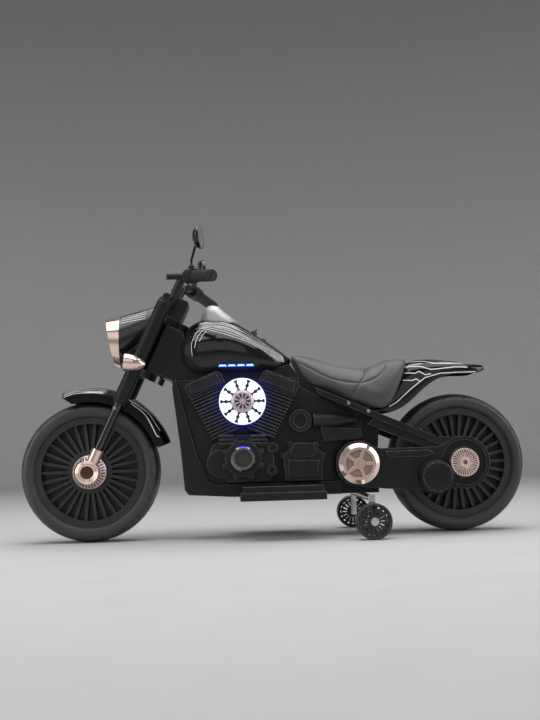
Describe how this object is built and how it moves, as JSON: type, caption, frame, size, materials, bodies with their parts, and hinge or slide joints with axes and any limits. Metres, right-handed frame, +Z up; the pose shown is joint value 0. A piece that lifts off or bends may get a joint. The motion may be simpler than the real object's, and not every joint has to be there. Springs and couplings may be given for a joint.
{
  "type": "kids electric motorbike",
  "caption": "Child's battery motorbike in cruiser style with fat tyres, raked fork, padded saddle, moulded engine sides, footboards and stabiliser wheels.",
  "frame": {"origin": "on the ground, under the middle of the wheelbase and of the width", "axes": "+X towards the rear wheel, -Y to the rider's left, +Z up"},
  "size_m": [1.19, 0.4744, 0.701],
  "materials": {
    "body_plastic": "matte moulded plastic",
    "gloss_black": "gloss moulded plastic",
    "satin_silver": "satin silver coating",
    "seat_leather": "grained leatherette",
    "rose_gold": "rose-gold plated plastic",
    "tyre_rubber": "soft matte tyre",
    "wheel_plastic": "matte moulded plastic",
    "dark_tube": "black powder coat",
    "steel": "plain zinc-plated steel",
    "chrome": "bright plated steel",
    "grip_rubber": "ribbed soft rubber",
    "clear_lens": "clear moulded lens",
    "lit_white": "backlit translucent plastic",
    "lit_blue": "backlit blue plastic",
    "red_plastic": "gloss red plastic",
    "mirror_glass": "mirror film",
    "inner_plastic": "plain moulded plastic"
  },
  "bodies": {
    "chassis": {"body_left": "body_plastic", "body_right": "body_plastic", "swing_arm_left": "body_plastic", "swing_arm_right": "body_plastic", "seat_struts": "body_plastic", "engine_left": "body_plastic", "engine_right": "body_plastic", "footboard_left": "body_plastic", "footboard_right": "body_plastic", "motor_cover": "body_plastic", "crankcase_covers": "body_plastic", "tank": "gloss_black", "rear_fender": "gloss_black", "console": "satin_silver", "seat_cushion": "seat_leather", "rear_hub_caps": "rose_gold", "round_covers": "rose_gold", "light_disc_hubs": "rose_gold", "rear_axle": "steel", "strut_screws": "steel", "stabiliser_bar": "chrome", "stabiliser_legs": "chrome", "light_discs": "lit_white", "tank_lights": "lit_blue", "tail_light": "red_plastic", "battery": "inner_plastic", "control_board": "inner_plastic", "drive_motor": "inner_plastic"},
    "steering": {"steering_stem": "steel", "upper_clamp": "body_plastic", "bar_clamp": "body_plastic", "fork_uppers": "body_plastic", "fork_lowers": "dark_tube", "axle_clamps": "rose_gold", "front_axle": "steel", "front_fender": "gloss_black", "headlight_shell": "gloss_black", "headlight_bezel": "rose_gold", "headlight_lens": "clear_lens", "turn_signals": "rose_gold", "turn_signal_lenses": "clear_lens", "handlebar": "dark_tube", "grips": "grip_rubber", "control_pods": "body_plastic"},
    "front_wheel": {"front_rim": "wheel_plastic", "front_tyre": "tyre_rubber", "front_hub_covers": "rose_gold"},
    "rear_wheel": {"rear_rim": "wheel_plastic", "rear_tyre": "tyre_rubber", "wheel_gear": "inner_plastic"},
    "pinion": {"motor_pinion": "steel"},
    "stabiliser_wheel_left": {"stabiliser_wheel_left": "wheel_plastic"},
    "stabiliser_wheel_right": {"stabiliser_wheel_right": "wheel_plastic"},
    "accelerator_pedal": {"accelerator_pedal": "body_plastic"},
    "mirror_left": {"mirror_left": "gloss_black", "mirror_glass_left": "mirror_glass"},
    "mirror_right": {"mirror_right": "gloss_black", "mirror_glass_right": "mirror_glass"},
    "start_button": {"start_button": "red_plastic"},
    "direction_switch": {"direction_switch": "inner_plastic"}
  },
  "joints": [
    {"name": "steering_turn", "type": "hinge", "parent": "chassis", "child": "steering", "pos_m": [-0.38719, 0, 0.14137], "axis": [0.4226, 0, 0.9063], "range_deg": [-30, 30]},
    {"name": "front_wheel_spin", "type": "hinge", "parent": "steering", "child": "front_wheel", "pos_m": [-0.4325, 0, 0.1625], "axis": [0, 1, 0], "continuous": true},
    {"name": "rear_wheel_spin", "type": "hinge", "parent": "chassis", "child": "rear_wheel", "pos_m": [0.4325, 0, 0.1625], "axis": [0, 1, 0], "continuous": true},
    {"name": "pinion_spin", "type": "hinge", "parent": "chassis", "child": "pinion", "pos_m": [0.36398, 0, 0.132], "axis": [0, 1, 0], "continuous": true},
    {"name": "stabiliser_left_spin", "type": "hinge", "parent": "chassis", "child": "stabiliser_wheel_left", "pos_m": [0.20587, -0.17, 0.04], "axis": [0, 1, 0], "continuous": true},
    {"name": "stabiliser_right_spin", "type": "hinge", "parent": "chassis", "child": "stabiliser_wheel_right", "pos_m": [0.20587, 0.17, 0.04], "axis": [0, 1, 0], "continuous": true},
    {"name": "pedal_press", "type": "hinge", "parent": "chassis", "child": "accelerator_pedal", "pos_m": [0.0215, 0, 0.131], "axis": [0, -1, 0], "range_deg": [0, 8], "stiffness_Nm_per_rad": 6, "springref_deg": -5.73},
    {"name": "mirror_left_turn", "type": "hinge", "parent": "steering", "child": "mirror_left", "pos_m": [-0.1858, -0.12006, 0.61803], "axis": [0, 0, 1], "range_deg": [-30, 30]},
    {"name": "mirror_right_turn", "type": "hinge", "parent": "steering", "child": "mirror_right", "pos_m": [-0.1858, 0.12006, 0.61803], "axis": [0, 0, 1], "range_deg": [-30, 30]},
    {"name": "start_press", "type": "slide", "parent": "chassis", "child": "start_button", "axis": [-0.558, 0, -0.8299], "range_m": [0, 0.002], "stiffness_N_per_m": 400, "springref_m": -0.001},
    {"name": "direction_tilt", "type": "hinge", "parent": "chassis", "child": "direction_switch", "pos_m": [-0.04238, 0, 0.481], "axis": [0, 1, 0], "range_deg": [-10, 10]}
  ],
  "couplings": [
    {"joint": "pinion_spin", "follows": "rear_wheel_spin", "ratio": -4}
  ]
}
